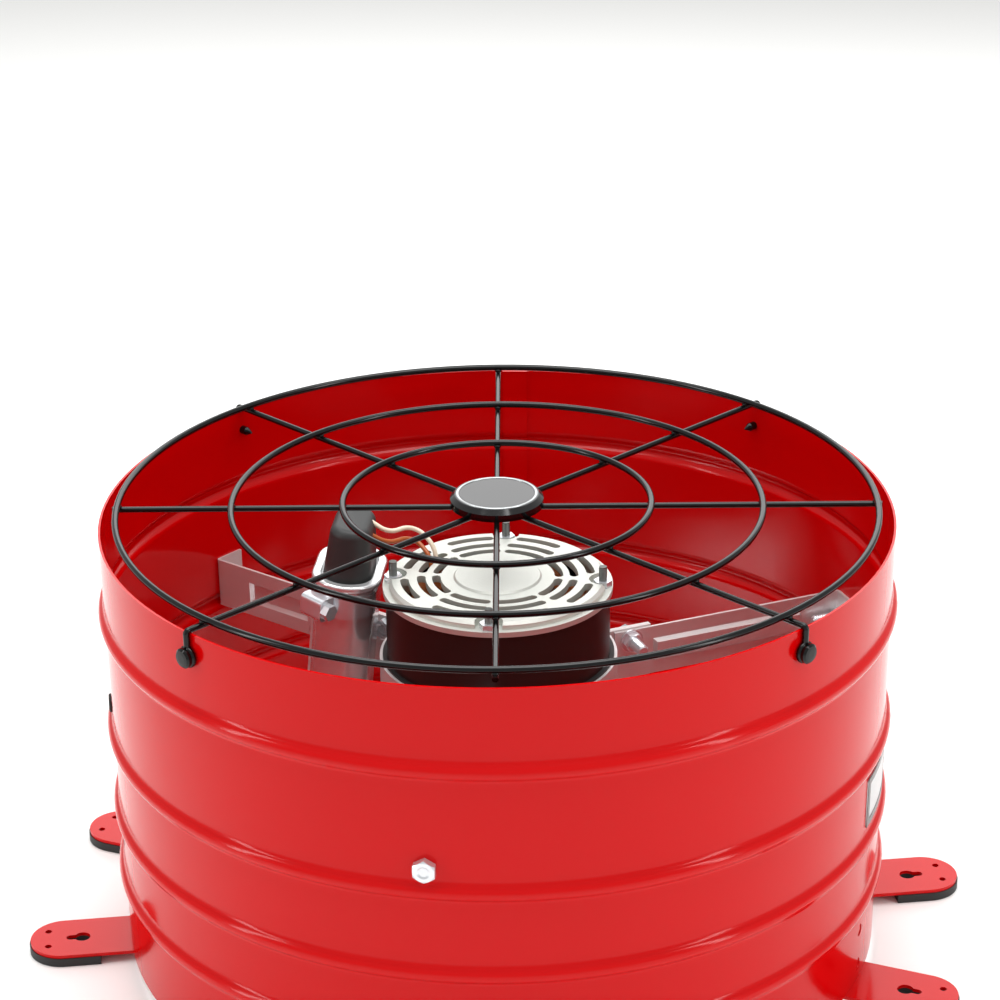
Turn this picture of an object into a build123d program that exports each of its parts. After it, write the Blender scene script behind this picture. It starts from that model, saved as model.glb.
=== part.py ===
from build123d import *
import math
import os

os.makedirs("parts", exist_ok=True)

# Attic fan with a round shroud, a wire guard over its mouth, four feet, and
# a motor that three strip arms hold on the axis above the fan wheel.
# Millimetres. Z is up along the fan's axis and z = 0 is under the foot pads.

# Clearances
touch_gap = 0.05          # between faces that bear on each other
seat_gap = 0.1            # a flat face bearing on a curved one
hole_clearance = 0.2      # radius of a hole over its bolt
running_clearance = 0.05  # shaft in its bearings
turning_gap = 0.5         # rotor in its stator

# Shroud
shroud_radius = 212.0
wall_thickness = 1.2
shroud_height = 247.0
bead_depths = [45.0, 112.0, 159.5, 199.2]  # below the rim
bead_projection = 3.2
bead_half_width = 6.5
bead_crest_radius = 4.6
seam_azimuth = 94.8
seam_angle = 4.0

# Feet
foot_half_angle = 15.0    # each foot from the X axis
foot_width = 38.0
foot_thickness = 2.0
foot_tip_radius = 268.8
foot_leg_height = 40.0
foot_leg_corner = 6.0
keyhole_reach = 239.6
keyhole_radius = 4.5
keyhole_slot_width = 4.6
keyhole_slot_reach = 248.7
side_hole_reach = 258.7
side_hole_offset = 8.0
side_hole_radius = 1.9
pad_thickness = 5.0
pad_start_reach = 229.5
pad_overhang = 0.6
pad_hole_margin = 0.5
rivet_radius = 2.1
rivet_head_radius = 3.4
rivet_recess = 0.5
rivet_tail_radius = 3.2
rivet_tail_height = 0.9
rivet_rise = 10.2         # lower rivet over the foot plate
rivet_pitch = 21.6

# Guard
guard_turn = 7.5
spoke_wire = 3.2
ring_wire = 3.6
ring_outer_radius = 202.6
ring_middle_radius = 141.7
ring_inner_radius = 82.4
spoke_start = 8.0
spoke_overrun = 3.1       # straight spoke past the outer ring
guard_screw_depth = 12.0
guard_screw_radius = 2.4
guard_screw_length = 10.0
guard_screw_head_radius = 5.2
guard_screw_head_height = 2.6
guard_bend_radius = 1.7   # sharp, so the wire lies on both faces of the rim
hub_plate_radius = 25.0
hub_plate_thickness = 1.6
badge_radius = 25.0
badge_height = 4.6
badge_bevel = 2.5

# Arms, clamp band and their bolts
arm_azimuth = 30.3
arm_count = 3
arm_depth = 100.0         # middle of the arms under the rim
arm_height = 29.0
arm_thickness = 1.5
arm_start = 69.0
arm_bend_radius = 0.5
arm_flange_length = 18.5
rib_start = 92.5
rib_end = 186.0
rib_width = 14.0
rib_rise = 2.0
rib_slope = 45.0
band_thickness = 1.6
band_height = 31.0
band_bend_radius = 3.0
ear_reach = 91.5
liner_thickness = 2.5
liner_overhang = 1.0
ear_bolt_reach = 79.0
ear_bolt_rise = 8.5       # over the middle of the arm
bolt_radius = 3.15
bolt_head_flats = 11.1
bolt_head_height = 4.2
bolt_dish_radius = 3.4
bolt_dish_depth = 0.6
nut_flats = 9.8
nut_height = 5.0
nut_flange_radius = 6.6
nut_flange_height = 1.2
ear_bolt_length = 21.0
wall_bolt_rise = 0.6
wall_bolt_length = 21.0

# Motor
motor_radius = 61.0
motor_shell_thickness = 1.4
motor_top_depth = 46.0
motor_length = 90.0
bell_radius = 62.4
bell_flange = 3.0
bell_cap_radius = 59.0
bell_cap_rise = 4.0
bell_disc_radius = 23.0
bell_disc_rise = 1.0
bell_cap_round = 1.6
bell_spigot = 4.0
bell_cavity_radius = 54.0
bell_boss_wall = 4.0
slot_width = 4.8
slot_row_radii = [33.2, 41.4, 50.6]
slot_long_half_angle = 16.5
slot_short_half_angle = 12.5
slot_sectors = 8
stud_circle = 57.0
stud_turn = 3.0
stud_count = 4
stud_radius = 2.1
stud_tip = 8.0
stud_nut_flats = 8.7
stud_nut_height = 3.2
stud_seat_radius = 7.5
stud_boss_radius = 9.0
bearing_radius = 16.0
bearing_width = 10.0
bearing_lip = 2.0
shaft_radius = 6.35
stator_length = 48.0
stator_rise = 22.0        # core over the bottom of the shell
rotor_radius = 32.5
rotor_ring_height = 6.0
slot_count = 24
stator_slot_start = 36.0
stator_slot_depth = 12.0
stator_slot_width = 4.2
winding_width = 15.0
winding_clearance = 0.15

# Fan wheel
wheel_height = 78.0       # middle of the blades over the floor
blade_count = 4
blade_turn = 15.0
blade_tip_radius = 200.0
blade_root_radius = 46.0
blade_tip_chord = 104.0
blade_root_chord = 62.0
blade_corner = 22.0
blade_thickness = 1.6
blade_camber_radius = 180.0
blade_pitch = 24.0
blade_skew = 9.0
spider_thickness = 2.5
spider_reach = 92.0
spider_width = 34.0
spider_disc_radius = 31.0
hub_radius = 14.0
hub_length = 30.0
hub_below = 8.0
blade_rivet_radius = 2.4
blade_rivet_head = 4.6
blade_rivet_rise = 1.8
blade_rivet_reach = 58.0
blade_rivet_pitch = 12.5
set_screw_radius = 3.0
set_screw_length = 7.0
set_screw_socket = 3.2
shaft_flat = 0.8

# Capacitor
can_reach = 79.2          # along the second arm
can_offset = 30.0         # beside the second arm
can_turn = 92.0
can_lean = 6.0
can_rim_depth = 42.5
can_length = 89.0
can_width = 55.0
can_across = 33.3
can_rim_flare = 2.6
can_rim_height = 4.0
can_rim_lip = 2.0
can_top_recess = 3.0
boot_width = 46.0
boot_across = 27.0
boot_height = 31.0
boot_taper = 5.0
boot_round = 5.0
bracket_thickness = 1.5
tongue_half_width = 9.0
bracket_leg_length = 15.0
bracket_edge = 1.5        # bracket strip inside the arm's edges
bracket_rivet_radius = 1.6
bracket_rivet_head = 2.9
bracket_rivet_rise = 1.0
strap_width = 12.7
strap_thickness = 0.8
strap_drop = 3.0          # under the can's rim
worm_box_length = 15.0
worm_box_rise = 8.4
worm_turn = -125.0
worm_screw_radius = 3.6
worm_screw_flats = 8.0
lead_radius = 1.25

# Trim on the wall
plate_azimuth = -7.3
plate_width = 60.0
plate_height = 30.0
plate_depth = 136.0
plate_thickness = 0.5
plate_corner = 2.0
grommet_azimuth = -165.5
grommet_depth = 101.0
grommet_radius = 5.2
grommet_neck = 3.8
grommet_bore = 2.6
grommet_lip = 1.6

# Places that follow from the sizes above
wall_inner_radius = shroud_radius - wall_thickness
foot_top = pad_thickness + foot_thickness
rim_height = foot_top + shroud_height
arm_level = rim_height - arm_depth
spoke_level = rim_height + spoke_wire / 2 + touch_gap
ring_level = spoke_level + spoke_wire / 2 + ring_wire / 2 + touch_gap
hub_plate_level = spoke_level + spoke_wire / 2 + touch_gap
shell_top = rim_height - motor_top_depth
shell_bottom = shell_top - motor_length
shell_bore = motor_radius - motor_shell_thickness
band_inner_radius = motor_radius + liner_thickness + 2 * touch_gap
web_near_face = -band_thickness - touch_gap
web_far_face = web_near_face - arm_thickness
can_level = rim_height - can_rim_depth


def save(name, shape):
    shape.label = name
    export_step(shape, os.path.join("parts", name + ".step"))


def outward(azimuth, radius, height):
    """Frame on the wall: local X is anticlockwise, Y is up and Z is outward."""
    a = math.radians(azimuth)
    place = (radius * math.cos(a), radius * math.sin(a), height)
    return Plane(place, x_dir=(-math.sin(a), math.cos(a), 0), z_dir=(math.cos(a), math.sin(a), 0))


def across_arm(arm, along, side, height):
    """Frame on an arm: local Z points anticlockwise, square to the arm's web."""
    a = math.radians(arm)
    place = (along * math.cos(a) - side * math.sin(a), along * math.sin(a) + side * math.cos(a), height)
    return Plane(place, x_dir=(math.cos(a), math.sin(a), 0), z_dir=(-math.sin(a), math.cos(a), 0))


def turned(points):
    """Solid of revolution about Z from a closed outline of (radius, height) points."""
    return revolve(Plane.XZ * Polygon(*points, align=None), axis=Axis.Z)


def pipe(inner, outer, low, high):
    return turned([(inner, low), (outer, low), (outer, high), (inner, high)])


def rod(radius, low, high, chamfer_size=0.0):
    if chamfer_size == 0.0:
        return turned([(0, low), (radius, low), (radius, high), (0, high)])
    slim = radius - chamfer_size
    return turned([(0, low), (slim, low), (radius, low + chamfer_size), (radius, high), (0, high)])


def hexagon(flats, height):
    return extrude(RegularPolygon(flats / 2, 6, major_radius=False), amount=height)


def group(solids):
    return Compound(children=[part for solid in solids for part in solid.solids()])


# Shroud
def bead_line(offset):
    """Edges of the wall's outline from the foot to the rim, offset inward."""
    step = 2 * math.atan(bead_projection / bead_half_width)
    fillet_radius = bead_half_width / math.sin(step) - bead_crest_radius
    crest = bead_crest_radius - offset
    hollow = fillet_radius + offset
    radius = shroud_radius - offset
    edges = []
    last = (radius, foot_top)
    for depth in reversed(bead_depths):
        middle = rim_height - depth
        hollow_x = shroud_radius + fillet_radius
        crest_x = shroud_radius + bead_projection - bead_crest_radius
        low = middle - bead_half_width
        high = middle + bead_half_width

        def on_hollow(angle, base, way):
            return (hollow_x - hollow * math.cos(angle), base + way * hollow * math.sin(angle))

        first = (radius, low)
        rise = on_hollow(step, low, 1)
        fall = on_hollow(step, high, -1)
        edges.append(Line(last, first))
        edges.append(ThreePointArc(first, on_hollow(step / 2, low, 1), rise))
        edges.append(ThreePointArc(rise, (crest_x + crest, middle), fall))
        edges.append(ThreePointArc(fall, on_hollow(step / 2, high, -1), (radius, high)))
        last = (radius, high)
    edges.append(Line(last, (radius, rim_height)))
    return edges


def wall_section(near, far):
    outer = bead_line(near)
    inner = bead_line(far)
    foot = Line((shroud_radius - near, foot_top), (shroud_radius - far, foot_top))
    rim = Line((shroud_radius - near, rim_height), (shroud_radius - far, rim_height))
    return Plane.XZ * make_face(outer + inner + [foot, rim])


def rivet_frames():
    frames = []
    for azimuth in foot_azimuths():
        for step in range(2):
            frames.append(outward(azimuth, shroud_radius, foot_top + rivet_rise + step * rivet_pitch))
    return frames


def foot_azimuths():
    return [foot_half_angle, 180 - foot_half_angle, 180 + foot_half_angle, -foot_half_angle]


def guard_mount_azimuths():
    return [guard_turn + 45 + 90 * step for step in range(4)]


def wall_bolt_frames():
    side = web_far_face - arm_bend_radius - nut_flats / 2 - hole_clearance
    turn = math.degrees(math.asin(side / wall_inner_radius))
    height = arm_level + wall_bolt_rise
    return [outward(arm + turn, shroud_radius, height) for arm in arm_azimuths()]


def arm_azimuths():
    return [arm_azimuth + 360 / arm_count * step for step in range(arm_count)]


def make_shroud():
    wall = revolve(wall_section(0, wall_thickness), axis=Axis.Z)
    lap = revolve(wall_section(wall_thickness * 0.4, wall_thickness * 2), axis=Axis.Z,
                  revolution_arc=seam_angle)
    wall += Rot(0, 0, seam_azimuth - seam_angle / 2) * lap
    for frame in wall_bolt_frames():
        wall -= frame * Cylinder(bolt_radius + hole_clearance, 6 * wall_thickness)
    for azimuth in guard_mount_azimuths():
        frame = outward(azimuth, shroud_radius, rim_height - guard_screw_depth)
        wall -= frame * Cylinder(guard_screw_radius + touch_gap, 6 * wall_thickness)
    sink_depth = wall_thickness - rivet_recess
    sink = turned([(0, -4 * wall_thickness), (rivet_radius + touch_gap, -4 * wall_thickness),
                   (rivet_radius + touch_gap, -rivet_recess - sink_depth),
                   (rivet_head_radius + touch_gap, -rivet_recess),
                   (rivet_head_radius + touch_gap, wall_thickness), (0, wall_thickness)])
    for frame in rivet_frames():
        wall -= frame * sink
    gland = outward(grommet_azimuth, shroud_radius, rim_height - grommet_depth)
    wall -= gland * Cylinder(grommet_neck + touch_gap, 6 * wall_thickness)
    return wall


# Feet
def foot_outline(start, overhang):
    """Plan of a foot that points along +X, with a full round tip."""
    half = foot_width / 2 + overhang
    tip_centre = foot_tip_radius - foot_width / 2
    bar = Polygon((start, -half), (tip_centre, -half), (tip_centre, half), (start, half), align=None)
    return bar + Pos(tip_centre, 0) * Circle(half)


def foot_holes(margin):
    slot_end = keyhole_slot_reach - keyhole_slot_width / 2
    slot_half = keyhole_slot_width / 2 + margin
    holes = Pos(keyhole_reach, 0) * Circle(keyhole_radius + margin)
    holes += Polygon((keyhole_reach, -slot_half), (slot_end, -slot_half),
                     (slot_end, slot_half), (keyhole_reach, slot_half), align=None)
    holes += Pos(slot_end, 0) * Circle(slot_half)
    for side in (-1, 1):
        holes += Pos(side_hole_reach, side * side_hole_offset) * Circle(side_hole_radius + margin)
    return holes


def make_foot():
    leg_outer = wall_inner_radius - touch_gap
    leg_inner = leg_outer - foot_thickness
    plan = foot_outline(leg_inner - foot_thickness, 0) - Circle(leg_inner) - foot_holes(0)
    plate = Pos(0, 0, pad_thickness) * extrude(plan, amount=foot_thickness)
    leg_plan = Circle(leg_outer) - Circle(leg_inner)
    leg_plan &= Pos(leg_inner, 0) * Rectangle(2 * foot_width, foot_width)
    leg_rise = foot_thickness + foot_leg_height
    leg = Pos(0, 0, pad_thickness) * extrude(leg_plan, amount=leg_rise)
    corners = leg.edges().filter_by(Axis.X).sort_by(Axis.Z)[-2:]
    leg = fillet(corners, foot_leg_corner)
    foot = plate + leg
    for step in range(2):
        hole = outward(0, leg_outer, foot_top + rivet_rise + step * rivet_pitch)
        foot -= hole * Cylinder(rivet_radius + touch_gap, 6 * foot_thickness)
    return foot


def make_pad():
    plan = foot_outline(pad_start_reach, pad_overhang) - foot_holes(pad_hole_margin)
    return extrude(plan, amount=pad_thickness)


def make_foot_rivet():
    """Countersunk rivet on the frame of its hole; the tail is formed inside the leg."""
    sink_depth = wall_thickness - rivet_recess
    tail = -wall_thickness - foot_thickness - 2 * touch_gap - seat_gap
    return turned([(0, -rivet_recess), (rivet_head_radius, -rivet_recess),
                   (rivet_radius, -rivet_recess - sink_depth), (rivet_radius, tail),
                   (rivet_tail_radius, tail), (rivet_tail_radius * 0.8, tail - rivet_tail_height * 0.7),
                   (0, tail - rivet_tail_height)])


# Guard
def make_ring(radius):
    return Pos(0, 0, ring_level) * Torus(radius, ring_wire / 2)


def make_spoke():
    """Straight spoke along +X."""
    end = ring_outer_radius + spoke_overrun
    wire = rod(spoke_wire / 2, spoke_start, end)
    return Pos(0, 0, spoke_level) * Rot(0, 90, 0) * wire


def make_mount_spoke():
    """Spoke along +X that bends down over the rim to an eye under the guard screw."""
    drop = shroud_radius + spoke_wire / 2 + touch_gap
    eye_level = rim_height - guard_screw_depth
    eye_radius = guard_screw_radius + hole_clearance + spoke_wire / 2
    start = (spoke_start, 0, spoke_level)
    bend_start = (drop - guard_bend_radius, 0, spoke_level)
    bend_end = (drop, 0, spoke_level - guard_bend_radius)
    bend_middle = (drop - guard_bend_radius * (1 - math.sin(math.pi / 4)), 0,
                   spoke_level - guard_bend_radius * (1 - math.cos(math.pi / 4)))
    finish = (drop, 0, eye_level + eye_radius)
    path = Wire([Line(start, bend_start), ThreePointArc(bend_start, bend_middle, bend_end),
                 Line(bend_end, finish)])
    section = Plane(start, x_dir=(0, 1, 0), z_dir=(1, 0, 0)) * Circle(spoke_wire / 2)
    wire = sweep(section, path=path)
    eye = Pos(drop, 0, eye_level) * Rot(0, 90, 0) * Torus(eye_radius, spoke_wire / 2)
    return wire + eye


def make_guard_screw():
    """Pan-head screw; local z = 0 is the face of the wall."""
    under_head = spoke_wire + 2 * touch_gap
    head = turned([(0, under_head), (guard_screw_head_radius, under_head),
                   (guard_screw_head_radius, under_head + guard_screw_head_height * 0.55),
                   (guard_screw_head_radius * 0.8, under_head + guard_screw_head_height * 0.92),
                   (guard_screw_head_radius * 0.45, under_head + guard_screw_head_height),
                   (0, under_head + guard_screw_head_height)])
    tip = -guard_screw_length
    shank = turned([(0, tip), (guard_screw_radius, tip + 2 * guard_screw_radius),
                    (guard_screw_radius, under_head), (0, under_head)])
    return head + shank


def make_hub_plate():
    plate = rod(hub_plate_radius, hub_plate_level, hub_plate_level + hub_plate_thickness)
    return plate


def make_badge():
    low = hub_plate_level + hub_plate_thickness + touch_gap
    high = low + badge_height
    return turned([(0, low), (badge_radius, low), (badge_radius, high - badge_bevel),
                   (badge_radius - badge_bevel, high), (0, high)])


# Bolts and nuts
def make_hex_bolt(length):
    """Hex bolt; the head stands on local z = 0 and the shank points to -Z."""
    head = Rot(0, 0, 30) * hexagon(bolt_head_flats, bolt_head_height)
    corner = bolt_head_flats / math.sqrt(3)
    crown = turned([(0, 0), (corner, 0), (corner, bolt_head_height - 0.12 * corner),
                    (bolt_head_flats * 0.48, bolt_head_height), (0, bolt_head_height)])
    dish = turned([(0, bolt_head_height - bolt_dish_depth),
                   (bolt_dish_radius * 0.7, bolt_head_height - bolt_dish_depth),
                   (bolt_dish_radius, bolt_head_height), (0, bolt_head_height)])
    shank = rod(bolt_radius, -length, 0, bolt_radius * 0.25)
    return (head & crown) - dish + shank


def make_flange_nut():
    """Flange nut seated on local z = 0 and standing up along +Z."""
    body = hexagon(nut_flats, nut_height)
    corner = nut_flats / math.sqrt(3)
    crown = turned([(0, 0), (corner, 0), (corner, nut_height - 0.12 * corner),
                    (nut_flats * 0.48, nut_height), (0, nut_height)])
    return (body & crown) - Cylinder(bolt_radius + touch_gap, 4 * nut_height)


def make_ear_nut():
    collar = rod(nut_flange_radius, 0, nut_flange_height)
    collar -= Cylinder(bolt_radius + touch_gap, 4 * nut_height)
    return collar + make_flange_nut()


# Clamp band and arms
def strip(path, width, height, middle):
    """Sheet strip on edge that follows a plan path."""
    plan = trace(path, line_width=width)
    return Pos(0, 0, middle - height / 2) * extrude(plan, amount=height)


def make_band():
    """One third of the clamp band, from the arm on +X anticlockwise to the next."""
    centre = band_inner_radius + band_thickness / 2
    side = band_thickness / 2 + touch_gap / 2
    bend = band_bend_radius + band_thickness / 2
    bend_side = side + bend
    bend_along = math.sqrt((centre + bend) ** 2 - bend_side ** 2)
    on_ring = Vector(bend_along, bend_side) * (centre / (centre + bend))
    bend_centre = Vector(bend_along, bend_side)
    flat_way = Vector(0, -1)
    ring_way = (on_ring - bend_centre).normalized()
    bend_middle = bend_centre + (flat_way + ring_way).normalized() * bend
    ear = Line((ear_reach, side), (bend_along, side))
    corner = ThreePointArc((bend_along, side), bend_middle, on_ring)
    half_turn = 180 / arm_count
    mirror_line = Plane((0, 0, 0), x_dir=(math.cos(math.radians(half_turn)), math.sin(math.radians(half_turn)), 0),
                        z_dir=(-math.sin(math.radians(half_turn)), math.cos(math.radians(half_turn)), 0))
    start = math.degrees(math.atan2(on_ring.Y, on_ring.X))
    ring = CenterArc((0, 0), centre, start, 2 * (half_turn - start))
    lines = [ear, corner, ring, mirror(corner, about=mirror_line), mirror(ear, about=mirror_line)]
    band = strip(lines, band_thickness, band_height, arm_level)
    for turn in (0, 2 * half_turn):
        hole = across_arm(turn, ear_bolt_reach, 0, arm_level + ear_bolt_rise)
        band -= hole * Cylinder(bolt_radius + hole_clearance, 6 * band_thickness)
    return band


def make_liner():
    half = band_height / 2 + liner_overhang
    inner = motor_radius + touch_gap
    return pipe(inner, inner + liner_thickness, arm_level - half, arm_level + half)


def make_arm():
    """Arm along +X: a ribbed strip on edge whose outer end is bent along the wall."""
    middle = (web_near_face + web_far_face) / 2
    flange_radius = wall_inner_radius - arm_thickness / 2 - touch_gap
    bend = arm_bend_radius + arm_thickness / 2
    bend_side = middle - bend
    bend_along = math.sqrt((flange_radius - bend) ** 2 - bend_side ** 2)
    bend_centre = Vector(bend_along, bend_side)
    on_wall = bend_centre * (flange_radius / (flange_radius - bend))
    bend_middle = bend_centre + (Vector(0, 1) + on_wall.normalized()).normalized() * bend
    start = math.degrees(math.atan2(on_wall.Y, on_wall.X))
    sweep_angle = math.degrees((arm_flange_length - bend) / flange_radius)
    lines = [Line((arm_start, middle), (bend_along, middle)),
             ThreePointArc((bend_along, middle), bend_middle, on_wall),
             CenterArc((0, 0), flange_radius, start, -sweep_angle)]
    arm = strip(lines, arm_thickness, arm_height, arm_level)
    slope = math.radians(rib_slope)
    shrink = 2 * arm_thickness * (math.tan(slope) - 1 / math.cos(slope))
    rib_length = rib_end - rib_start
    place = across_arm(0, (rib_start + rib_end) / 2, web_far_face, arm_level)
    raised = extrude(Rectangle(rib_length, rib_width), amount=-rib_rise, taper=rib_slope)
    arm += place * raised
    place = across_arm(0, (rib_start + rib_end) / 2, web_near_face, arm_level)
    pressed = extrude(Rectangle(rib_length + shrink, rib_width + shrink), amount=-rib_rise, taper=rib_slope)
    arm -= place * pressed
    hole = across_arm(0, ear_bolt_reach, middle, arm_level + ear_bolt_rise)
    arm -= hole * Cylinder(bolt_radius + hole_clearance, 6 * arm_thickness)
    frame = wall_bolt_frames()[0]
    arm -= Rot(0, 0, -arm_azimuth) * (frame * Cylinder(bolt_radius + hole_clearance, 10 * arm_thickness))
    return arm


def ear_bolt_frames(side):
    height = arm_level + ear_bolt_rise
    return [across_arm(arm, ear_bolt_reach, side, height) for arm in arm_azimuths()]


# Motor
def stud_frames():
    frames = []
    for step in range(stud_count):
        a = math.radians(stud_turn + 360 / stud_count * step)
        frames.append(Pos(stud_circle * math.cos(a), stud_circle * math.sin(a)))
    return frames


def bell_slots():
    slots = []
    for row, radius in enumerate(slot_row_radii):
        half = slot_long_half_angle
        if row == len(slot_row_radii) - 1:
            half = slot_short_half_angle
        for step in range(slot_sectors):
            middle = stud_turn + 360 / slot_sectors * (step + 0.5)
            line = CenterArc((0, 0), radius, middle - half, 2 * half)
            slots.append(SlotArc(line, slot_width))
    return slots


def make_bell(shaft_hole):
    """End bell on the shell's end at z = 0, outward along +Z."""
    cap_top = bell_flange + bell_cap_rise
    disc_top = cap_top + bell_disc_rise
    pocket_roof = bell_flange - 0.5
    pocket_foot = pocket_roof - bearing_width
    boss_radius = bearing_radius + bell_boss_wall
    spigot_radius = shell_bore - touch_gap
    bell = turned([(0, pocket_foot), (boss_radius, pocket_foot), (boss_radius, bell_flange),
                   (bell_cavity_radius, bell_flange), (bell_cavity_radius, -bell_spigot),
                   (spigot_radius, -bell_spigot), (spigot_radius, touch_gap),
                   (bell_radius, touch_gap), (bell_radius, bell_flange), (bell_cap_radius, bell_flange),
                   (bell_cap_radius, cap_top - bell_cap_round), (bell_cap_radius - bell_cap_round, cap_top),
                   (bell_disc_radius + bell_disc_rise, cap_top), (bell_disc_radius, disc_top), (0, disc_top)])
    for frame in stud_frames():
        bell += Pos(0, 0, -bell_spigot) * frame * extrude(Circle(stud_boss_radius), bell_spigot + bell_flange)
    limit = pipe(0.001, spigot_radius, -bell_spigot, touch_gap)
    limit += pipe(0.001, bell_radius, touch_gap, 2 * disc_top)
    limit += pipe(0.001, boss_radius, pocket_foot, 0)
    bell &= limit
    bell -= pipe(0.001, bearing_radius + touch_gap, pocket_foot - 1, pocket_roof)
    for frame in stud_frames():
        bell -= Pos(0, 0, bell_flange) * frame * extrude(Circle(stud_seat_radius), 2 * disc_top)
        bell -= frame * Cylinder(stud_radius + touch_gap, 8 * disc_top)
    cutter = Sketch() + bell_slots()
    bell -= Pos(0, 0, bell_flange - 1) * extrude(cutter, amount=2 * disc_top)
    if shaft_hole:
        bell -= Cylinder(shaft_radius + turning_gap, 8 * disc_top)
    return bell


def make_stator():
    low = shell_bottom + stator_rise
    plan = Circle(shell_bore - touch_gap) - Circle(rotor_radius + turning_gap)
    for frame in stud_frames():
        plan -= frame * Circle(stud_radius + hole_clearance)
    slot_middle = stator_slot_start + stator_slot_depth / 2
    slot = Pos(slot_middle, 0) * Rectangle(stator_slot_depth, stator_slot_width)
    for step in range(slot_count):
        plan -= Rot(0, 0, 360 / slot_count * step) * slot
    return Pos(0, 0, low) * extrude(plan, amount=stator_length)


def make_windings():
    """Coil bars in the stator's slots, joined by the end turns at both ends."""
    low = shell_bottom + stator_rise
    high = low + stator_length
    foot = shell_bottom + bell_spigot + winding_clearance
    head = shell_top - bell_spigot - winding_clearance
    inner = stator_slot_start + winding_clearance
    outer = inner + winding_width
    corner = winding_width * 0.3
    windings = turned([(inner, high + winding_clearance), (outer, high + winding_clearance),
                       (outer, head - corner), (outer - corner, head), (inner + corner, head),
                       (inner, head - corner)])
    windings += turned([(inner, low - winding_clearance), (outer, low - winding_clearance),
                        (outer, foot + corner), (outer - corner, foot), (inner + corner, foot),
                        (inner, foot + corner)])
    middle = stator_slot_start + stator_slot_depth / 2
    bar = Rectangle(stator_slot_depth - 2 * winding_clearance, stator_slot_width - 2 * winding_clearance)
    bars = Sketch() + [Rot(0, 0, 360 / slot_count * step) * Pos(middle, 0) * bar for step in range(slot_count)]
    reach = stator_length + 4 * winding_clearance
    windings += Pos(0, 0, low - 2 * winding_clearance) * extrude(bars, amount=reach)
    return windings


def make_rotor_core():
    low = shell_bottom + stator_rise
    high = low + stator_length
    bore = shaft_radius + touch_gap / 2
    core = pipe(bore, rotor_radius, low, high)
    core += pipe(rotor_radius * 0.72, rotor_radius * 0.97, low - rotor_ring_height, high + rotor_ring_height)
    return core


def bearing_levels():
    top = shell_top + bell_flange - 0.5 - touch_gap - bearing_width
    bottom = shell_bottom - bell_flange + 0.5 + touch_gap
    return [bottom, top]


def make_bearing():
    bore = shaft_radius + running_clearance
    ring = pipe(bore, bearing_radius, 0, bearing_width)
    groove = pipe(bore + bearing_lip, bearing_radius - bearing_lip, bearing_width - 0.8, bearing_width + 1)
    return ring - groove - Pos(0, 0, bearing_width) * mirror(groove, about=Plane.XY)


def make_studs():
    low = shell_bottom - bell_flange - stud_nut_height - touch_gap - stud_radius
    high = shell_top + bell_flange + stud_nut_height + stud_tip
    return [frame * rod(stud_radius, low, high, stud_radius * 0.2) for frame in stud_frames()]


def make_stud_nuts():
    nut = hexagon(stud_nut_flats, stud_nut_height)
    nut -= Cylinder(stud_radius + touch_gap, 4 * stud_nut_height)
    nuts = []
    for frame in stud_frames():
        nuts.append(Pos(0, 0, shell_top + bell_flange + touch_gap) * frame * nut)
        nuts.append(Pos(0, 0, shell_bottom - bell_flange - touch_gap - stud_nut_height) * frame * nut)
    return nuts


def make_shaft():
    top = shell_top + bell_flange - 1.0
    bottom = wheel_height - hub_below - 3.0
    shaft = rod(shaft_radius, bottom, top, 0.8)
    hub_top = wheel_height - hub_below + hub_length
    flat_middle = (bottom + hub_top) / 2
    flat = Box(2 * shaft_radius, 4 * shaft_radius, hub_top - bottom)
    return shaft - Pos(2 * shaft_radius - shaft_flat, 0, flat_middle) * flat


# Fan wheel
def blade_shell(top_offset, thickness, length, chord):
    """Cambered sheet about the blade's own axis +X, convex upward, apex at z = 0."""
    outer = blade_camber_radius + top_offset
    ring = Circle(outer) - Circle(outer - thickness)
    half = math.degrees(math.asin(0.75 * chord / blade_camber_radius))
    far = 2 * blade_camber_radius
    wedge = Polygon((0, 0), (far * math.cos(math.radians(90 - half)), far * math.sin(math.radians(90 - half))),
                    (0, far), (far * math.cos(math.radians(90 + half)), far * math.sin(math.radians(90 + half))),
                    align=None)
    section = Plane((0, 0, -blade_camber_radius), x_dir=(0, 1, 0), z_dir=(1, 0, 0)) * (ring & wedge)
    return extrude(section, amount=length)


def blade_frames():
    frames = []
    for step in range(blade_count):
        turn = blade_turn + 360 / blade_count * step
        frames.append(Pos(0, 0, wheel_height) * Rot(0, 0, turn) * Rot(blade_pitch, 0, 0))
    return frames


def blade_outline():
    root = blade_root_chord / 2
    tip = blade_tip_chord / 2
    plan = Polygon((blade_root_radius, -root), (blade_tip_radius, -tip), (blade_tip_radius, tip),
                   (blade_root_radius, root), align=None)
    plan = fillet(plan.vertices(), blade_corner)
    return plan & Circle(blade_tip_radius)


def rivet_places():
    return [blade_rivet_reach + blade_rivet_pitch * step for step in range(3)]


def make_blade():
    """Blade along +X before its pitch."""
    sheet = Rot(0, 0, blade_skew) * blade_shell(0, blade_thickness, 1.1 * blade_tip_radius, blade_tip_chord)
    blade = sheet & Pos(0, 0, -blade_camber_radius / 2) * extrude(blade_outline(), amount=blade_camber_radius)
    for reach in rivet_places():
        blade -= Rot(0, 0, blade_skew) * Pos(reach, 0, 0) * Cylinder(blade_rivet_radius + touch_gap, 20)
    return blade


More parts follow.
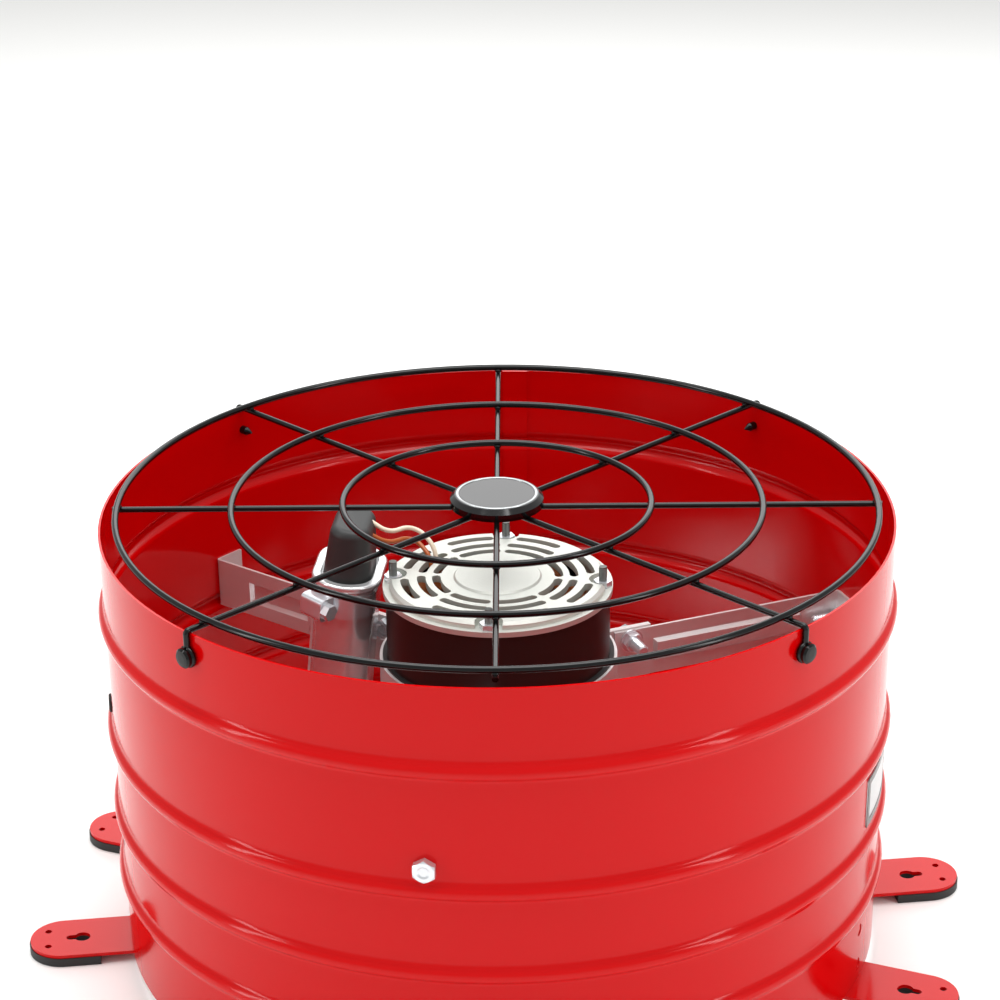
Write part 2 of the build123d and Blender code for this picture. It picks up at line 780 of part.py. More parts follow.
def make_spider():
    hub_foot = wheel_height - hub_below
    hub = pipe(shaft_radius + touch_gap / 2, hub_radius, hub_foot, hub_foot + hub_length)
    disc_low = wheel_height - spider_thickness / 2
    spider = hub + pipe(shaft_radius + touch_gap / 2, spider_disc_radius, disc_low, disc_low + spider_thickness)
    offset = -blade_thickness - touch_gap
    sheet = Rot(0, 0, blade_skew) * blade_shell(offset, spider_thickness, spider_reach * 1.2, spider_width * 1.5)
    plan = Polygon((hub_radius + 2, -spider_width * 0.5), (spider_reach, -spider_width * 0.38),
                   (spider_reach, spider_width * 0.38), (hub_radius + 2, spider_width * 0.5), align=None)
    plan = Rot(0, 0, blade_skew) * fillet(plan.vertices().sort_by(Axis.X)[-2:], spider_width * 0.2)
    arm = sheet & Pos(0, 0, -20) * extrude(plan, amount=40)
    for reach in rivet_places():
        arm -= Rot(0, 0, blade_skew) * Pos(reach, 0, 0) * Cylinder(blade_rivet_radius + touch_gap, 20)
    for frame in blade_frames():
        spider += frame * arm
    spider -= Cylinder(shaft_radius + touch_gap / 2, 4 * rim_height)
    hole = outward(0, hub_radius, set_screw_level())
    spider -= hole * Cylinder(set_screw_radius + touch_gap, 2 * hub_radius)
    return spider


def set_screw_level():
    return wheel_height - hub_below + hub_length - 8.0


def make_set_screw():
    inner = shaft_radius - shaft_flat + touch_gap
    screw = rod(set_screw_radius, inner, inner + set_screw_length, 0.6)
    socket = Pos(0, 0, inner + set_screw_length - 3.0) * hexagon(set_screw_socket, 4)
    return outward(0, 0, set_screw_level()) * (screw - socket)


def make_blade_rivet():
    """Rivet through blade and spider; local z = 0 is the top of the blade at its apex."""
    low = -blade_thickness - spider_thickness - 3 * touch_gap - seat_gap
    head = blade_rivet_head
    rise = blade_rivet_rise
    return turned([(0, low - rise), (head * 0.6, low - rise * 0.8), (head, low), (blade_rivet_radius, low),
                   (blade_rivet_radius, touch_gap), (head, touch_gap), (head * 0.6, rise * 0.8), (0, rise)])


# Capacitor
def can_frame():
    """Frame at the middle of the can's rim: X along the oval, Z up the leaning can."""
    arm = math.radians(arm_azimuths()[1])
    x = can_reach * math.cos(arm) - can_offset * math.sin(arm)
    y = can_reach * math.sin(arm) + can_offset * math.cos(arm)
    return Pos(x, y, can_level) * Rot(0, 0, can_turn) * Rot(can_lean, 0, 0)


def oval(width, across):
    return SlotOverall(width, across)


def oval_bar(width, across, low, high):
    return Pos(0, 0, low) * extrude(oval(width, across), amount=high - low)


def make_can():
    rim_width = can_width + 2 * can_rim_flare
    rim_across = can_across + 2 * can_rim_flare
    body = oval_bar(can_width, can_across, -can_length, -can_rim_height / 2)
    body = fillet(body.faces().sort_by(Axis.Z)[0].edges(), 2.5)
    rim = oval_bar(rim_width, rim_across, -can_rim_height, 0)
    rim = fillet(rim.faces().sort_by(Axis.Z)[-1].edges() + rim.faces().sort_by(Axis.Z)[0].edges(), 1.5)
    can = body + rim
    well_width = can_width - 2 * can_rim_lip
    well_across = can_across - 2 * can_rim_lip
    return can - oval_bar(well_width, well_across, -can_top_recess, 1)


def make_boot():
    foot = Pos(0, 0, -can_top_recess + touch_gap)
    boot = extrude(oval(boot_width, boot_across), amount=boot_height, taper=boot_taper)
    boot = fillet(boot.faces().sort_by(Axis.Z)[-1].edges(), boot_round)
    return foot * boot


def bracket_low():
    return (arm_level - arm_height / 2 + bracket_edge - can_level) / math.cos(math.radians(can_lean))


def bracket_high():
    return (arm_level + arm_height / 2 - bracket_edge - can_level) / math.cos(math.radians(can_lean))


def bracket_meets_arm():
    """Reach along the second arm at which the bracket's strip meets the web."""
    turn = math.radians(can_turn - arm_azimuths()[1])
    lean = math.radians(can_lean)
    back = (can_across / 2 + seat_gap + bracket_thickness) / math.cos(lean)
    back += (can_level - arm_level) * math.tan(lean)
    reach = can_reach - back * math.sin(turn)
    side = can_offset + back * math.cos(turn)
    run = (side - web_near_face) / -math.sin(turn)
    return reach + run * math.cos(turn)


def bracket_rivet_frames(side):
    along = bracket_meets_arm() + bracket_leg_length * 0.55
    rise = arm_height / 2 - bracket_edge - 1.1 * bracket_rivet_head
    arm = arm_azimuths()[1]
    return [across_arm(arm, along, side, arm_level + way * rise) for way in (-1, 1)]


def make_bracket():
    """Tongue up the can's back, a strip across to the arm and a leg riveted on it."""
    low = bracket_low()
    high = bracket_high()
    top = -can_rim_height - strap_drop + strap_thickness
    near = can_across / 2 + seat_gap
    far = can_width + can_across
    plate = Plane.XZ * Polygon((-tongue_half_width, low), (far, low), (far, high),
                               (tongue_half_width, high), (tongue_half_width, top), (-tongue_half_width, top),
                               align=None)
    plate = can_frame() * (Pos(0, near + bracket_thickness, 0) * extrude(plate, amount=bracket_thickness))
    arm = arm_azimuths()[1]
    face = web_near_face + touch_gap
    start = bracket_meets_arm() - 2 * bracket_thickness
    block = extrude(Rectangle(4 * far, 4 * far), amount=4 * far)
    plate &= across_arm(arm, start, face, arm_level) * block
    leg = Rectangle(bracket_leg_length, arm_height - 2 * bracket_edge)
    leg = extrude(Pos(bracket_leg_length / 2, 0) * leg, amount=bracket_thickness)
    bracket = plate + across_arm(arm, start, face, arm_level) * leg
    for frame in bracket_rivet_frames(face):
        bracket -= frame * Cylinder(bracket_rivet_radius + touch_gap, 8 * bracket_thickness)
    return bracket


def make_bracket_rivet():
    """Rivet square to the web; local z = 0 is the web's near face."""
    near = touch_gap + bracket_thickness + touch_gap
    far = -arm_thickness - touch_gap
    head = bracket_rivet_head
    rise = bracket_rivet_rise
    return turned([(0, far - rise), (head * 0.6, far - rise), (head, far), (bracket_rivet_radius, far),
                   (bracket_rivet_radius, near), (head, near), (head * 0.6, near + rise), (0, near + rise)])


def make_strap():
    """Band round the can and the bracket's tongue, with the worm screw's housing."""
    inner_across = can_across + bracket_thickness + 3 * seat_gap
    inner_width = can_width + inner_across - can_across
    shift = (bracket_thickness + seat_gap) / 2
    high = -can_rim_height - strap_drop
    low = high - strap_width
    outer = oval_bar(inner_width + 2 * strap_thickness, inner_across + 2 * strap_thickness, low, high)
    strap = Pos(0, shift, 0) * (outer - oval_bar(inner_width, inner_across, low - 1, high + 1))
    middle = (low + high) / 2
    end_x = -(inner_width - inner_across) / 2
    a = math.radians(worm_turn - 90)
    radius = inner_across / 2 + strap_thickness
    place = Plane((end_x + radius * math.cos(a), shift + radius * math.sin(a), middle),
                  x_dir=(-math.sin(a), math.cos(a), 0), z_dir=(math.cos(a), math.sin(a), 0))
    root = 4 * strap_thickness
    housing = Pos(0, 0, -root) * extrude(Rectangle(worm_box_length, strap_width), amount=worm_box_rise + root)
    housing = fillet(housing.faces().sort_by(Axis.Z)[-1].edges().filter_by(Axis.X), 3.0)
    housing = place * housing - Pos(0, shift, 0) * oval_bar(inner_width, inner_across, low - 1, high + 1)
    bore = Pos(0, 0, worm_box_rise / 2) * Rot(0, 90, 0)
    bore *= Cylinder(worm_screw_radius + touch_gap, 4 * worm_box_length)
    strap += housing
    strap -= place * bore
    screw = Rot(0, 90, 0) * Cylinder(worm_screw_radius, worm_box_length)
    head = Pos(worm_box_length / 2, 0, 0) * Rot(0, 90, 0) * hexagon(worm_screw_flats, 4.5)
    screw = place * (Pos(0, 0, worm_box_rise / 2) * (screw + head))
    return [can_frame() * strap, can_frame() * screw]


# Leads from the capacitor's boot into the motor's bell
def make_lead(points):
    radii = []
    for i in range(1, len(points) - 1):
        before = Vector(points[i]) - Vector(points[i - 1])
        after = Vector(points[i + 1]) - Vector(points[i])
        turn = math.radians(before.get_angle(after))
        radii.append(0.45 * min(before.length, after.length) / math.tan(turn / 2))
    path = FilletPolyline(*points, radius=radii)
    way = Vector(points[1]) - Vector(points[0])
    lead = sweep(Plane(points[0], z_dir=way) * Circle(lead_radius), path=path)
    section = math.pi * lead_radius ** 2
    print("lead radii", [round(r, 1) for r in radii], "length", round(path.length, 1),
          "volume share", round(lead.volume / (section * path.length), 4))
    return lead


upper_lead = [(-74.0, 18.5, 237.0), (-62.5, 17.0, 230.0), (-50.5, 30.5, 229.5), (-36.8, 20.6, 221.5),
              (-36.6, 18.6, 203.0)]
lower_lead = [(-74.0, 11.5, 232.5), (-62.5, 13.0, 225.5), (-50.5, 27.0, 224.5), (-38.6, 15.6, 217.0),
              (-38.9, 14.0, 203.0)]


# Trim on the wall
def make_nameplate():
    inner = shroud_radius + touch_gap
    level = rim_height - plate_depth
    sheet = pipe(inner, inner + plate_thickness, level - plate_height, level + plate_height)
    outline = fillet(Rectangle(plate_width, plate_height).vertices(), plate_corner)
    return sheet & (outward(plate_azimuth, 0, level) * extrude(outline, amount=2 * shroud_radius))


def make_grommet():
    """Rubber bush in the wall; local z = 0 is the wall's outer face."""
    low = -wall_thickness - 2 * seat_gap
    bush = turned([(grommet_bore, low - grommet_lip), (grommet_radius - 0.6, low - grommet_lip),
                   (grommet_radius, low - grommet_lip + 0.6), (grommet_radius, low), (grommet_neck, low),
                   (grommet_neck, touch_gap), (grommet_radius, touch_gap),
                   (grommet_radius, grommet_lip - 0.6), (grommet_radius - 0.6, grommet_lip),
                   (grommet_bore, grommet_lip)])
    return outward(grommet_azimuth, shroud_radius, rim_height - grommet_depth) * bush


# Build and save every piece
save("shroud", make_shroud())

foot = make_foot()
pad = make_pad()
for number, azimuth in enumerate(foot_azimuths(), start=1):
    save(f"mounting_tab_{number}", Rot(0, 0, azimuth) * foot)
    save(f"foot_pad_{number}", Rot(0, 0, azimuth) * pad)
save("tab_rivets", group([frame * make_foot_rivet() for frame in rivet_frames()]))

save("guard_ring_outer", make_ring(ring_outer_radius))
save("guard_ring_middle", make_ring(ring_middle_radius))
save("guard_ring_inner", make_ring(ring_inner_radius))
for number in range(4):
    save(f"guard_spoke_{number + 1}", Rot(0, 0, guard_turn + 90 * number) * make_spoke())
    save(f"guard_mount_spoke_{number + 1}", Rot(0, 0, guard_mount_azimuths()[number]) * make_mount_spoke())
save("guard_hub_plate", make_hub_plate())
save("badge", make_badge())
guard_screw = make_guard_screw()
save("guard_screws", group([outward(azimuth, shroud_radius, rim_height - guard_screw_depth) * guard_screw
                            for azimuth in guard_mount_azimuths()]))

save("motor_shell", pipe(shell_bore, motor_radius, shell_bottom, shell_top))
save("end_bell_top", Pos(0, 0, shell_top) * make_bell(False))
save("end_bell_bottom", mirror(Pos(0, 0, -shell_bottom) * make_bell(True), about=Plane.XY))
save("stator_core", make_stator())
save("stator_windings", make_windings())
save("motor_bearings", group([Pos(0, 0, bearing_levels()[0]) * make_bearing(),
                              Pos(0, 0, bearing_levels()[1]) * make_bearing()]))
save("through_studs", group(make_studs()))
save("stud_nuts", group(make_stud_nuts()))

save("motor_shaft", make_shaft())
save("rotor_core", make_rotor_core())
save("fan_spider", make_spider())
blade = make_blade()
blade_rivet = make_blade_rivet()
rivets = []
for number, frame in enumerate(blade_frames(), start=1):
    save(f"fan_blade_{number}", frame * blade)
    rivets += [frame * (Rot(0, 0, blade_skew) * (Pos(reach, 0, 0) * blade_rivet)) for reach in rivet_places()]
save("blade_rivets", group(rivets))
save("set_screw", make_set_screw())

band = make_band()
arm = make_arm()
for number, azimuth in enumerate(arm_azimuths(), start=1):
    save(f"clamp_band_{number}", Rot(0, 0, azimuth) * band)
    turned_arm = Rot(0, 0, azimuth) * arm
    if number == 2:
        for frame in bracket_rivet_frames(web_near_face):
            turned_arm -= frame * Cylinder(bracket_rivet_radius + touch_gap, 8 * arm_thickness)
    save(f"motor_arm_{number}", turned_arm)
save("band_liner", make_liner())
ear_bolt = make_hex_bolt(ear_bolt_length)
save("ear_bolts", group([frame * ear_bolt for frame in ear_bolt_frames(band_thickness + 2 * touch_gap)]))
wall_bolt = Pos(0, 0, seat_gap) * make_hex_bolt(wall_bolt_length)
save("wall_bolts", group([frame * wall_bolt for frame in wall_bolt_frames()]))
ear_nut = Rot(180, 0, 0) * make_ear_nut()
wall_nut_seat = -wall_thickness - arm_thickness - 2 * touch_gap - seat_gap
wall_nut = Pos(0, 0, wall_nut_seat) * Rot(180, 0, 30) * make_flange_nut()
nuts = [frame * ear_nut for frame in ear_bolt_frames(web_far_face - touch_gap)]
nuts += [frame * wall_nut for frame in wall_bolt_frames()]
save("flange_nuts", group(nuts))

save("capacitor_can", can_frame() * make_can())
save("capacitor_boot", can_frame() * make_boot())
save("capacitor_bracket", make_bracket())
save("bracket_rivets", group([frame * make_bracket_rivet() for frame in bracket_rivet_frames(web_near_face)]))
save("capacitor_clamp", group(make_strap()))
save("capacitor_lead_1", make_lead(upper_lead))
save("capacitor_lead_2", make_lead(lower_lead))
save("nameplate", make_nameplate())
save("cable_grommet", make_grommet())
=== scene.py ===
# Attic fan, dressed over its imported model
import bpy
import bmesh
import math
from mathutils import Matrix, Vector


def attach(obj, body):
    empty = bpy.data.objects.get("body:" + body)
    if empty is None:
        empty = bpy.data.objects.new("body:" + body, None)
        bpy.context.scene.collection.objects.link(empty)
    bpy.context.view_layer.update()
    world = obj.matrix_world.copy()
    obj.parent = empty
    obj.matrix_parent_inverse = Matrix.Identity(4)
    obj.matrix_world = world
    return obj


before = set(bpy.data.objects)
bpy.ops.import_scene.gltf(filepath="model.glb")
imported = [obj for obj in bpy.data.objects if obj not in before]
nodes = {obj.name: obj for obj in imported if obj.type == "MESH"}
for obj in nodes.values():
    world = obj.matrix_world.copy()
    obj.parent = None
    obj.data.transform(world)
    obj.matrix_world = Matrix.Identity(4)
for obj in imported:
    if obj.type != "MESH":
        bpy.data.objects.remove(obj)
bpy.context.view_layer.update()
mm = 0.001
mergeGap = 0.001 * mm
print("frame loaded,", len(nodes), "nodes")


# small helpers
def linearColour(hexText):
    channels = []
    for start in (0, 2, 4):
        value = int(hexText[start:start + 2], 16) / 255
        channels.append(value / 12.92 if value <= 0.04045 else ((value + 0.055) / 1.055) ** 2.4)
    return (*channels, 1.0)


def startMaterial(name, hexText, metallic=0.0, roughness=0.5):
    material = bpy.data.materials.new(name)
    material.use_nodes = True
    shader = material.node_tree.nodes["Principled BSDF"]
    shader.inputs["Base Color"].default_value = linearColour(hexText)
    shader.inputs["Metallic"].default_value = metallic
    shader.inputs["Roughness"].default_value = roughness
    return material, shader


def addNode(material, kind, settings=None, values=None, links=None):
    node = material.node_tree.nodes.new(kind)
    for key, value in (settings or {}).items():
        setattr(node, key, value)
    for key, value in (values or {}).items():
        node.inputs[key].default_value = value
    for key, socket in (links or {}).items():
        material.node_tree.links.new(socket, node.inputs[key])
    return node


def addNoise(material, size, detail=3.0):  # size of one blotch in millimetres
    place = addNode(material, "ShaderNodeTexCoord").outputs["Object"]
    return addNode(material, "ShaderNodeTexNoise", values={"Scale": 1 / (size * mm), "Detail": detail},
                   links={"Vector": place}).outputs["Fac"]


def addBump(material, shader, height, strength, depth):  # depth in millimetres
    bump = addNode(material, "ShaderNodeBump", values={"Strength": strength, "Distance": depth * mm},
                   links={"Height": height})
    material.node_tree.links.new(bump.outputs["Normal"], shader.inputs["Normal"])


def paintNodes(names, material):
    for name in names:
        for slot in nodes[name].material_slots:
            slot.material = material


def mergeInto(target, bm):
    part = bpy.data.meshes.new("part")
    bm.to_mesh(part)
    bm.free()
    target.from_mesh(part)
    bpy.data.meshes.remove(part)


def finishPiece(bm, name, material, body="frame", smoothAngle=40):
    bmesh.ops.remove_doubles(bm, verts=bm.verts, dist=2 * mergeGap)
    bmesh.ops.recalc_face_normals(bm, faces=bm.faces)
    mesh = bpy.data.meshes.new(name)
    bm.to_mesh(mesh)
    bm.free()
    piece = bpy.data.objects.new(name, mesh)
    bpy.context.scene.collection.objects.link(piece)
    mesh.materials.append(material)
    mesh.shade_smooth()
    mesh.set_sharp_from_angle(angle=math.radians(smoothAngle))
    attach(piece, body)
    return piece


def addSpun(target, outline, steps, place):  # outline of (radius, height) in millimetres, spun about Z
    bm = bmesh.new()
    verts = [bm.verts.new((radius * mm, 0, height * mm)) for radius, height in outline]
    edges = [bm.edges.new(pair) for pair in zip(verts, verts[1:])]
    bmesh.ops.spin(bm, geom=verts + edges, cent=(0, 0, 0), axis=(0, 0, 1), angle=2 * math.pi,
                   steps=steps, use_merge=True)
    bmesh.ops.remove_doubles(bm, verts=bm.verts, dist=mergeGap)
    bmesh.ops.transform(bm, matrix=place, verts=bm.verts)
    mergeInto(target, bm)


def circleSpot(radius, azimuth, height):
    angle = math.radians(azimuth)
    return Matrix.Translation((radius * mm * math.cos(angle), radius * mm * math.sin(angle), height * mm))


def outwardPlace(azimuth, radius, height):  # local Z points out of the wall
    turn = Matrix.Rotation(math.radians(azimuth), 4, "Z") @ Matrix.Rotation(math.radians(90), 4, "Y")
    return circleSpot(radius, azimuth, height) @ turn


def armPlace(azimuth, along, side, height):  # local Z points anticlockwise, square to the arm
    angle = math.radians(azimuth)
    spot = Matrix.Rotation(angle, 4, "Z") @ Matrix.Translation((along * mm, side * mm, height * mm))
    return spot @ Matrix.Rotation(math.radians(-90), 4, "X")


# materials
def redEnamel():  # gloss enamel baked on rolled steel: deep even red with crisp highlights along the beads
    material, shader = startMaterial("redGlossEnamel", "C40002", 0.0, 0.14)
    shader.inputs["Specular IOR Level"].default_value = 0.2
    addBump(material, shader, addNoise(material, 60.0, 2.0), 0.12, 0.5)  # slow waves of rolled sheet
    return material


def blackPowderCoat():  # gloss black powder coat on wire: near black with sharp pale highlights
    material, shader = startMaterial("blackPowderCoat", "050606", 0.0, 0.16)
    shader.inputs["Specular IOR Level"].default_value = 0.3
    addBump(material, shader, addNoise(material, 1.5, 3.0), 0.15, 0.05)  # orange peel, drawn coarse to show
    return material


def castAluminium():  # die-cast aluminium: pale grey green, a little grainy and softly bright
    material, shader = startMaterial("castAluminium", "CBCDC6", 0.55, 0.42)
    addBump(material, shader, addNoise(material, 1.6, 4.0), 0.5, 0.16)  # sand of the die
    return material


def motorEnamel():  # brown-black baking enamel on rolled steel: dark, with a soft sheen
    material, shader = startMaterial("motorEnamel", "2B1816", 0.0, 0.38)
    shader.inputs["Specular IOR Level"].default_value = 0.3
    return material


def galvanisedSteel():  # hot-dip galvanised strip: pale grey with faint spangle, tinted by the red round it
    material, shader = startMaterial("galvanisedSteel", "DAD6D5", 0.55, 0.4)
    place = addNode(material, "ShaderNodeTexCoord").outputs["Object"]
    spangle = addNode(material, "ShaderNodeTexVoronoi", values={"Scale": 1 / (5.0 * mm)}, links={"Vector": place})
    tone = addNode(material, "ShaderNodeMapRange", values={"To Min": 0.32, "To Max": 0.48},
                   links={"Value": spangle.outputs["Distance"]})
    material.node_tree.links.new(tone.outputs["Result"], shader.inputs["Roughness"])
    return material


def zincPlate():  # bright zinc plate on cold-headed steel: cool silver, crisp highlights
    material, shader = startMaterial("zincPlate", "DDE0E4", 0.7, 0.22)
    addBump(material, shader, addNoise(material, 0.8, 2.0), 0.1, 0.05)
    return material


def studSteel():  # blackened steel: dull grey
    return startMaterial("studSteel", "6F716E", 1.0, 0.35)[0]


def blackRubber():  # moulded nitrile rubber: soft black with a grey bloom
    material, shader = startMaterial("mouldedRubber", "121313", 0.0, 0.55)
    addBump(material, shader, addNoise(material, 0.8, 3.0), 0.15, 0.05)
    return material


def bootVinyl():  # dipped vinyl: dark grey and dull
    return startMaterial("dippedVinyl", "2A2C2C", 0.0, 0.5)[0]


def canAluminium():  # drawn aluminium: bright, smooth silver
    return startMaterial("drawnAluminium", "E2E3E4", 0.7, 0.2)[0]


def copperWire():  # varnished copper wire in tight coils: brown gold
    material, shader = startMaterial("varnishedCopper", "B5622E", 0.85, 0.35)
    addBump(material, shader, addNoise(material, 1.2, 2.0), 0.6, 0.4)  # strands, drawn at 1.2 mm
    return material


def lamination():  # stacked electrical steel: blue grey
    return startMaterial("laminationSteel", "62666C", 1.0, 0.45)[0]


def groundSteel():  # ground shaft steel: smooth grey
    return startMaterial("groundSteel", "A9ABAE", 1.0, 0.22)[0]


def bladeAluminium():  # mill-finish aluminium sheet: pale, softly brushed
    material, shader = startMaterial("millAluminium", "CFD1D3", 1.0, 0.32)
    addBump(material, shader, addNoise(material, 2.5, 3.0), 0.08, 0.05)
    return material


def plainPlastic(name, hexText, roughness=0.4):  # moulded or printed plastic: one even colour
    return startMaterial(name, hexText, 0.0, roughness)[0]


red = redEnamel()
powder = blackPowderCoat()
castMetal = castAluminium()
motorPaint = motorEnamel()
galvanised = galvanisedSteel()
zinc = zincPlate()
darkStud = studSteel()
rubber = blackRubber()
vinyl = bootVinyl()
canMetal = canAluminium()
copper = copperWire()
laminated = lamination()
ground = groundSteel()
bladeMetal = bladeAluminium()
foil = startMaterial("brushedFoil", "B9BCBD", 1.0, 0.3)[0]

allNames = list(nodes)
paintNodes(["shroud", "tab_rivets"] + [n for n in allNames if n.startswith("mounting_tab")], red)
paintNodes([n for n in allNames if n.startswith("foot_pad")] + ["cable_grommet", "band_liner"], rubber)
paintNodes([n for n in allNames if n.startswith("guard_")], powder)
paintNodes(["badge"], plainPlastic("badgeGlossBlack", "0C0C0D", 0.12))
paintNodes(["motor_shell"], motorPaint)
paintNodes(["end_bell_top", "end_bell_bottom"], castMetal)
paintNodes(["stator_core", "rotor_core"], laminated)
paintNodes(["stator_windings"], copper)
paintNodes(["motor_bearings", "motor_shaft", "set_screw"], ground)
paintNodes([n for n in allNames if n.startswith(("motor_arm", "clamp_band"))], galvanised)
paintNodes(["capacitor_bracket", "fan_spider"], galvanised)
paintNodes([n for n in allNames if n.startswith("fan_blade")] + ["blade_rivets", "bracket_rivets"], bladeMetal)
paintNodes(["ear_bolts", "wall_bolts", "flange_nuts", "stud_nuts"], zinc)
paintNodes(["through_studs"], darkStud)
paintNodes(["capacitor_can"], canMetal)
paintNodes(["capacitor_boot"], vinyl)
paintNodes(["capacitor_clamp"], zinc)
paintNodes(["capacitor_lead_1"], plainPlastic("leadCream", "E6D9C2", 0.35))
paintNodes(["capacitor_lead_2"], plainPlastic("leadBrown", "A8521C", 0.35))
paintNodes(["nameplate"], foil)
print("materials on the nodes")


# threads on the bolts and studs
thread = {"boltRadius": 3.15, "boltPitch": 1.27, "boltDepth": 0.28, "boltSides": 20,
          "studRadius": 2.1, "studPitch": 0.79, "studDepth": 0.18, "studSides": 16, "sink": 0.4, "rootSink": 0.05,
          "arms": 3, "studs": 4,
          "armAzimuth": 30.3, "wallBoltTurn": -2.379, "wallBoltHeight": 154.6,
          "wallBoltFrom": 191.9, "wallBoltTo": 203.9, "earReach": 79.0, "earHeight": 162.5,
          "earFrom": -18.6, "earTo": -8.4, "studCircle": 57.0, "studTurn": 3.0, "studFrom": 214.4, "studTo": 221.7}


def threadOutline(t, kind, low, high):  # kind is "bolt" or "stud"
    radius, pitch, depth = t[kind + "Radius"], t[kind + "Pitch"], t[kind + "Depth"]
    outline = [(radius - t["sink"], low)]
    height = low
    while height + pitch <= high:
        outline += [(radius - t["rootSink"], height), (radius + depth, height + 0.5 * pitch)]
        height += pitch
    return outline + [(radius - t["rootSink"], height), (radius - t["sink"], height)]


def makeThreads(t):
    bm = bmesh.new()
    for step in range(t["arms"]):
        arm = t["armAzimuth"] + 360 / t["arms"] * step
        outline = threadOutline(t, "bolt", t["wallBoltFrom"], t["wallBoltTo"])
        addSpun(bm, outline, t["boltSides"], outwardPlace(arm + t["wallBoltTurn"], 0, t["wallBoltHeight"]))
        outline = threadOutline(t, "bolt", t["earFrom"], t["earTo"])
        addSpun(bm, outline, t["boltSides"], armPlace(arm, t["earReach"], 0, t["earHeight"]))
    finishPiece(bm, "boltThreads", zinc, smoothAngle=30)
    bm = bmesh.new()
    for step in range(t["studs"]):
        outline = threadOutline(t, "stud", t["studFrom"], t["studTo"])
        azimuth = t["studTurn"] + 360 / t["studs"] * step
        addSpun(bm, outline, t["studSides"], circleSpot(t["studCircle"], azimuth, 0))
    finishPiece(bm, "studThreads", darkStud, smoothAngle=30)


makeThreads(thread)


# spot welds where the guard's wires cross
welds = {"rings": (82.4, 141.7, 202.6), "count": 8, "turn": 7.5, "height": 257.3, "size": 1.9,
         "wide": 1.1, "flat": 0.75}


def makeWelds(w):
    bm = bmesh.new()
    for radius in w["rings"]:
        for step in range(w["count"]):
            azimuth = w["turn"] + 360 / w["count"] * step
            squash = Matrix.Diagonal((w["wide"], w["wide"], w["flat"], 1))
            turn = Matrix.Rotation(math.radians(azimuth), 4, "Z")
            shape = circleSpot(radius, azimuth, w["height"]) @ turn @ squash
            bmesh.ops.create_icosphere(bm, subdivisions=3, radius=w["size"] * mm, matrix=shape)
    finishPiece(bm, "guardWelds", powder, smoothAngle=80)


makeWelds(welds)


# plain ring on the badge
badgeTrim = {"outer": 21.8, "width": 1.4, "rise": 0.35, "top": 263.55, "sink": 0.2, "edge": 0.15, "sides": 96}


def makeBadgeTrim(b):
    low = b["top"] - b["sink"]
    high = b["top"] + b["rise"]
    inner = b["outer"] - b["width"]
    edge = b["edge"]
    bm = bmesh.new()
    addSpun(bm, [(inner, low), (b["outer"], low), (b["outer"], high - edge), (b["outer"] - edge, high),
                 (inner + edge, high), (inner, high - edge), (inner, low)], b["sides"], Matrix())
    finishPiece(bm, "badgeRing", foil, smoothAngle=50)


makeBadgeTrim(badgeTrim)


# printed black border on the nameplate
plateBorder = {"azimuth": -7.3, "radius": 212.5, "rise": 0.25, "height": 118.0, "width": 59.4, "tall": 29.4,
               "strip": 4.0, "steps": 24}


def addCurvedStrip(target, p, fromSide, toSide, low, high):  # sides in millimetres round the wall
    bm = bmesh.new()
    rings = []
    for step in range(p["steps"] + 1):
        side = fromSide + (toSide - fromSide) * step / p["steps"]
        angle = math.radians(p["azimuth"]) + side / p["radius"]
        near, far = p["radius"], p["radius"] + p["rise"]
        corners = [(near, low), (far, low), (far, high), (near, high)]
        across, up = math.cos(angle) * mm, math.sin(angle) * mm
        rings.append([bm.verts.new((r * across, r * up, z * mm)) for r, z in corners])
    for first, second in zip(rings, rings[1:]):
        for corner in range(4):
            after = (corner + 1) % 4
            bm.faces.new((first[corner], first[after], second[after], second[corner]))
    bm.faces.new(rings[0])
    bm.faces.new(rings[-1])
    mergeInto(target, bm)


def makePlateBorder(p):
    halfWidth = p["width"] / 2
    low = p["height"] - p["tall"] / 2
    high = p["height"] + p["tall"] / 2
    bm = bmesh.new()
    addCurvedStrip(bm, p, -halfWidth, halfWidth, low, low + p["strip"])
    addCurvedStrip(bm, p, -halfWidth, halfWidth, high - p["strip"], high)
    addCurvedStrip(bm, p, -halfWidth, p["strip"] - halfWidth, low + p["strip"], high - p["strip"])
    addCurvedStrip(bm, p, halfWidth - p["strip"], halfWidth, low + p["strip"], high - p["strip"])
    finishPiece(bm, "nameplateBorder", plainPlastic("printedBlack", "0A0A0B", 0.25))


makePlateBorder(plateBorder)
print("threads, welds and trim made")


# floor, light and camera
floorHalf = 6.0
floorGap = 0.3 * mm


def makeFloor():
    bm = bmesh.new()
    bmesh.ops.create_grid(bm, x_segments=1, y_segments=1, size=floorHalf)
    mesh = bpy.data.meshes.new("studioFloor")
    bm.to_mesh(mesh)
    bm.free()
    floor = bpy.data.objects.new("studioFloor", mesh)
    floor.location.z = -floorGap  # clear of the pads, whose faces lie at zero
    bpy.context.scene.collection.objects.link(floor)
    mesh.materials.append(startMaterial("matteWhitePaper", "F4F4F2", 0.0, 0.9)[0])


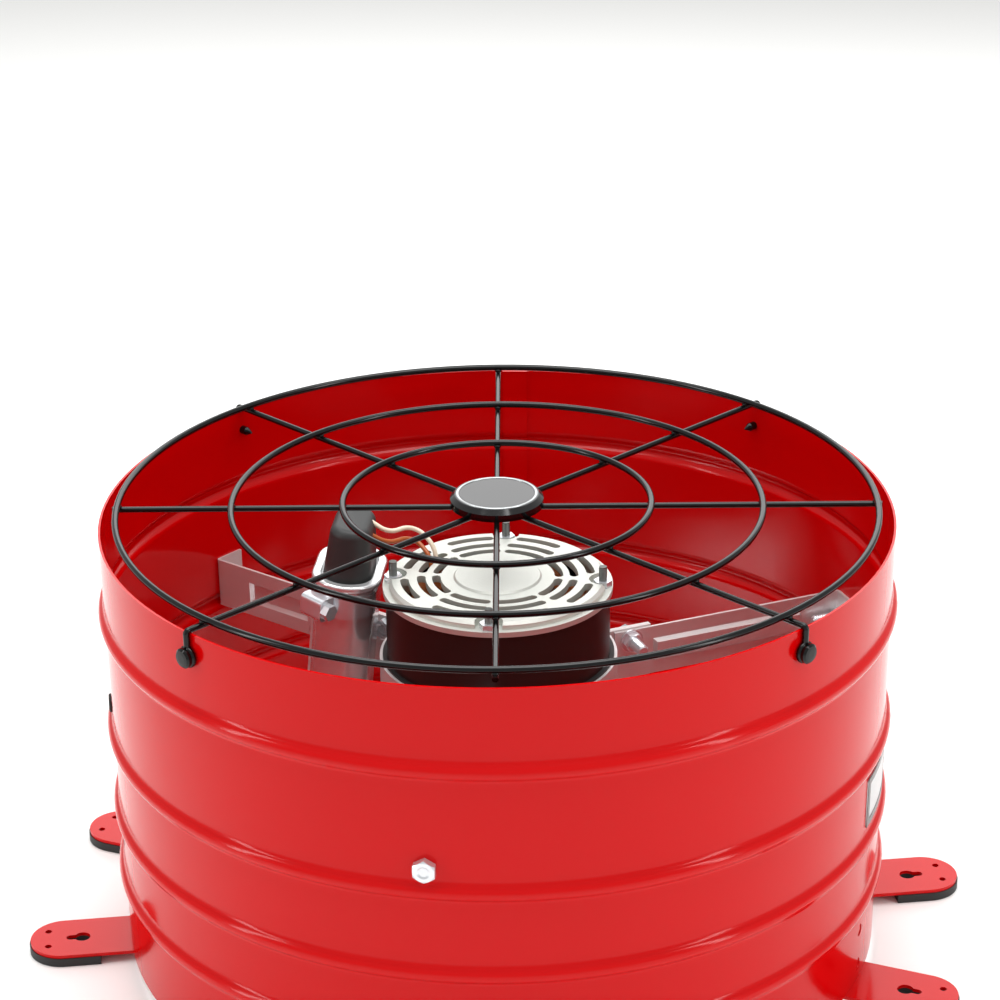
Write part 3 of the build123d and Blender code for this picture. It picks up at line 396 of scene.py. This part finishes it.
def addSoftbox(name, place, target, width, height, power):
    light = bpy.data.lights.new(name, "AREA")
    light.shape = "RECTANGLE"
    light.size = width
    light.size_y = height
    light.energy = power
    lamp = bpy.data.objects.new(name, light)
    lamp.location = place
    lamp.rotation_euler = (Vector(target) - Vector(place)).to_track_quat("-Z", "Y").to_euler()
    bpy.context.scene.collection.objects.link(lamp)


studio = {"worldStrength": 0.68, "worldColour": "FFFFFF", "softboxes": {
    "leftSoftbox": ((-1.5, -0.75, 0.75), (0, 0, 0.12), 0.16, 1.3, 7.0),
    "rightSoftbox": ((1.5, -0.65, 0.75), (0, 0, 0.12), 0.16, 1.3, 7.0),
    "overheadSoftbox": ((0.0, 0.1, 1.7), (0, 0, 0.2), 1.3, 1.3, 30.0),
    "backSoftbox": ((0.0, 1.7, 1.1), (0, 0, 0.1), 2.0, 1.0, 12.0)}}


def makeStudio(s):
    world = bpy.data.worlds.new("paleStudio")
    world.use_nodes = True
    backdrop = world.node_tree.nodes["Background"]
    backdrop.inputs["Color"].default_value = linearColour(s["worldColour"])
    backdrop.inputs["Strength"].default_value = s["worldStrength"]
    bpy.context.scene.world = world
    for name, (place, target, width, height, power) in s["softboxes"].items():
        addSoftbox(name, place, target, width, height, power)


photoCamera = {"place": (0.19240, -1.37388, 0.84864), "ahead": (-0.121876, 0.870777, -0.476334),
               "up": (-0.05504, 0.47325, 0.87921), "lens": 101.21, "shiftY": 0.2676}


def makeCamera(c):
    data = bpy.data.cameras.new("photoCamera")
    data.sensor_width = 36.0
    data.lens = c["lens"]
    data.shift_y = c["shiftY"]
    data.clip_start = 0.05
    camera = bpy.data.objects.new("photoCamera", data)
    back = -Vector(c["ahead"]).normalized()
    up = Vector(c["up"])
    up = (up - up.dot(back) * back).normalized()
    side = up.cross(back)
    turn = Matrix((side, up, back)).transposed().to_4x4()
    camera.matrix_world = Matrix.Translation(c["place"]) @ turn
    bpy.context.scene.collection.objects.link(camera)
    bpy.context.scene.camera = camera


makeFloor()
makeStudio(studio)
makeCamera(photoCamera)
bpy.context.scene.view_settings.view_transform = "Standard"
print("stage ready")
